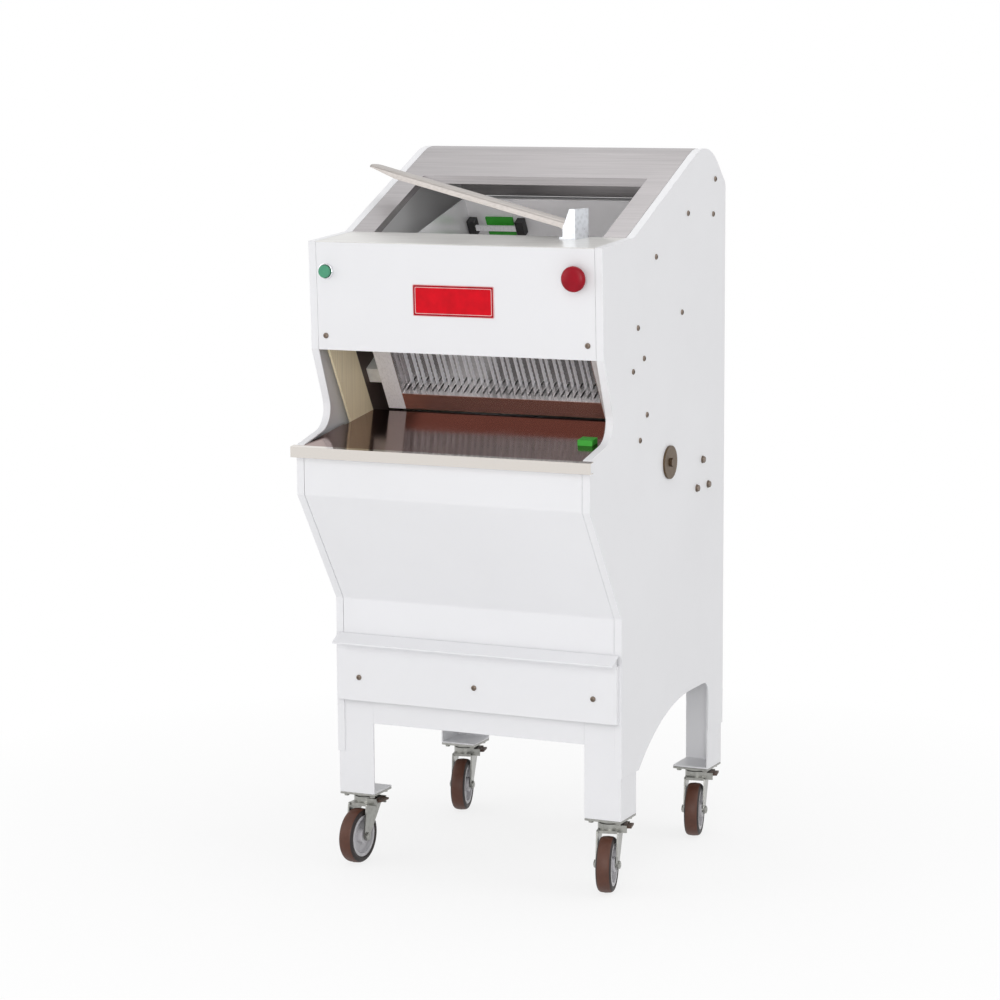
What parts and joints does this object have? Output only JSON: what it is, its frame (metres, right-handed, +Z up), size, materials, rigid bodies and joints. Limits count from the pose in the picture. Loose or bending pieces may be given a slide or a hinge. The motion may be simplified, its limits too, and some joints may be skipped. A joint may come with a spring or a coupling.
{
  "type": "bread slicer machine",
  "caption": "Floor-standing bread slicer: painted cabinet on braked casters with tilted blade frames, hopper top, hold-down arm, discharge tray and crumb drawer.",
  "frame": {"origin": "centre of the footprint on the floor", "axes": "+Z up, -Y towards the operator, +X towards the side with the motor bolts"},
  "size_m": [0.576, 0.658, 1.2919],
  "materials": {
    "paint": "smooth cool off-white powder coat",
    "stainless": "brushed stainless sheet",
    "zinc": "bright zinc plate",
    "red_plate": "red enamel plate with a pale border, left blank",
    "stop_red": "dark red moulded mushroom head",
    "start_green": "teal green moulded cap",
    "pad_green": "green rubber",
    "black_plastic": "black moulded plastic",
    "guide_plastic": "white wear-resistant plastic",
    "motor_grey": "grey painted motor casing",
    "pulley_iron": "turned cast iron",
    "belt_rubber": "black rubber belt",
    "blade_steel": "bright blade steel",
    "wheel_grey": "pale grey moulded hub",
    "tyre_brown": "dark brown rubber tread",
    "brake_brown": "dark brown lever"
  },
  "bodies": {
    "cabinet": {"left_panel": "paint", "right_panel": "paint", "leg_posts": "paint", "base_rails": "paint", "left_inner_plate": "stainless", "right_inner_plate": "stainless", "panel_spacers": "zinc", "fascia": "paint", "nameplate": "red_plate", "front_shelf": "stainless", "hopper_surround": "stainless", "apex_cap": "stainless", "loaf_chute": "stainless", "chute_trim": "stainless", "stop_pads": "pad_green", "discharge_tray": "stainless", "lower_front_cover": "paint", "rear_cover": "paint", "cord_gland": "black_plastic", "guide_blocks": "guide_plastic", "crank_bearings": "stainless", "motor": "motor_grey", "drive_belt": "belt_rubber", "panel_screws": "zinc", "drawer_runners": "zinc", "arm_bracket": "zinc", "button_bezels": "zinc", "switch_blocks": "black_plastic", "caster_plates": "zinc"},
    "front_frame": {"front_blade_frame": "stainless", "front_blades": "blade_steel"},
    "rear_frame": {"rear_blade_frame": "stainless", "rear_blades": "blade_steel"},
    "front_rod_pair": {"front_rods": "zinc"},
    "rear_rod_pair": {"rear_rods": "zinc"},
    "crank": {"crankshaft": "zinc", "crank_pulley": "pulley_iron"},
    "motor_shaft": {"motor_pulley": "pulley_iron"},
    "drawer": {"crumb_drawer": "stainless", "drawer_front": "paint", "drawer_screws": "zinc"},
    "arm": {"hold_down_arm": "stainless"},
    "start": {"start_button": "start_green"},
    "stop": {"stop_button": "stop_red"},
    "front_left_swivel": {"front_left_fork": "zinc"},
    "front_left_roller": {"front_left_wheel": "wheel_grey", "front_left_tyre": "tyre_brown"},
    "front_left_lock": {"front_left_brake": "brake_brown"},
    "front_right_swivel": {"front_right_fork": "zinc"},
    "front_right_roller": {"front_right_wheel": "wheel_grey", "front_right_tyre": "tyre_brown"},
    "front_right_lock": {"front_right_brake": "brake_brown"},
    "rear_left_swivel": {"rear_left_fork": "zinc"},
    "rear_left_roller": {"rear_left_wheel": "wheel_grey", "rear_left_tyre": "tyre_brown"},
    "rear_left_lock": {"rear_left_brake": "brake_brown"},
    "rear_right_swivel": {"rear_right_fork": "zinc"},
    "rear_right_roller": {"rear_right_wheel": "wheel_grey", "rear_right_tyre": "tyre_brown"},
    "rear_right_lock": {"rear_right_brake": "brake_brown"}
  },
  "joints": [
    {"name": "front_frame_stroke", "type": "slide", "parent": "cabinet", "child": "front_frame", "axis": [0, -0.5, 0.866], "range_m": [-0.012, 0.012]},
    {"name": "rear_frame_stroke", "type": "slide", "parent": "cabinet", "child": "rear_frame", "axis": [0, -0.5, 0.866], "range_m": [-0.012, 0.012]},
    {"name": "front_rod_swing", "type": "hinge", "parent": "front_frame", "child": "front_rod_pair", "pos_m": [0, 0.005, 0.80582], "axis": [1, 0, 0], "range_deg": [-9, 9]},
    {"name": "rear_rod_swing", "type": "hinge", "parent": "rear_frame", "child": "rear_rod_pair", "pos_m": [0, 0.005, 0.80582], "axis": [1, 0, 0], "range_deg": [-9, 9]},
    {"name": "crank_turn", "type": "hinge", "parent": "cabinet", "child": "crank", "pos_m": [0, 0.043, 0.74], "axis": [1, 0, 0], "continuous": true},
    {"name": "motor_turn", "type": "hinge", "parent": "cabinet", "child": "motor_shaft", "pos_m": [0, 0.209, 0.691], "axis": [1, 0, 0], "continuous": true},
    {"name": "drawer_pull", "type": "slide", "parent": "cabinet", "child": "drawer", "axis": [0, -1, 0], "range_m": [0, 0.35]},
    {"name": "arm_lift", "type": "hinge", "parent": "cabinet", "child": "arm", "pos_m": [0.176, -0.144, 1.1657], "axis": [0.284, 0.9588, 0], "range_deg": [0, 80]},
    {"name": "start_press", "type": "slide", "parent": "cabinet", "child": "start", "axis": [0, 0.9993, 0.0366], "range_m": [0, 0.004], "stiffness_N_per_m": 400, "springref_m": -0.001},
    {"name": "stop_press", "type": "slide", "parent": "cabinet", "child": "stop", "axis": [0, 0.9993, 0.0366], "range_m": [0, 0.004], "stiffness_N_per_m": 400, "springref_m": -0.001},
    {"name": "front_left_swivel_turn", "type": "hinge", "parent": "cabinet", "child": "front_left_swivel", "pos_m": [-0.243, -0.14, 0.11], "axis": [0, 0, 1], "continuous": true},
    {"name": "front_left_wheel_roll", "type": "hinge", "parent": "front_left_swivel", "child": "front_left_roller", "pos_m": [-0.24462, -0.17096, 0.05], "axis": [0.9986, -0.0523, 0], "continuous": true},
    {"name": "front_left_brake_press", "type": "hinge", "parent": "front_left_swivel", "child": "front_left_lock", "pos_m": [-0.21604, -0.14141, 0.112], "axis": [0.0523, 0.9986, 0], "range_deg": [0, 20]},
    {"name": "front_right_swivel_turn", "type": "hinge", "parent": "cabinet", "child": "front_right_swivel", "pos_m": [0.243, -0.14, 0.11], "axis": [0, 0, 1], "continuous": true},
    {"name": "front_right_wheel_roll", "type": "hinge", "parent": "front_right_swivel", "child": "front_right_roller", "pos_m": [0.24997, -0.1702, 0.05], "axis": [0.9744, 0.225, 0], "continuous": true},
    {"name": "front_right_brake_press", "type": "hinge", "parent": "front_right_swivel", "child": "front_right_lock", "pos_m": [0.26931, -0.13393, 0.112], "axis": [-0.225, 0.9744, 0], "range_deg": [0, 20]},
    {"name": "rear_left_swivel_turn", "type": "hinge", "parent": "cabinet", "child": "rear_left_swivel", "pos_m": [-0.243, 0.284, 0.11], "axis": [0, 0, 1], "continuous": true},
    {"name": "rear_left_wheel_roll", "type": "hinge", "parent": "rear_left_swivel", "child": "rear_left_roller", "pos_m": [-0.23603, 0.25379, 0.05], "axis": [0.9744, 0.225, 0], "continuous": true},
    {"name": "rear_left_brake_press", "type": "hinge", "parent": "rear_left_swivel", "child": "rear_left_lock", "pos_m": [-0.21669, 0.29007, 0.112], "axis": [-0.225, 0.9744, 0], "range_deg": [0, 20]},
    {"name": "rear_right_swivel_turn", "type": "hinge", "parent": "cabinet", "child": "rear_right_swivel", "pos_m": [0.243, 0.284, 0.11], "axis": [0, 0, 1], "continuous": true},
    {"name": "rear_right_wheel_roll", "type": "hinge", "parent": "rear_right_swivel", "child": "rear_right_roller", "pos_m": [0.24997, 0.25379, 0.05], "axis": [0.9744, 0.225, 0], "continuous": true},
    {"name": "rear_right_brake_press", "type": "hinge", "parent": "rear_right_swivel", "child": "rear_right_lock", "pos_m": [0.26931, 0.29007, 0.112], "axis": [-0.225, 0.9744, 0], "range_deg": [0, 20]}
  ],
  "couplings": [
    {"joint": "rear_frame_stroke", "follows": "front_frame_stroke", "ratio": -1},
    {"joint": "motor_turn", "follows": "crank_turn", "ratio": 2.6892}
  ]
}
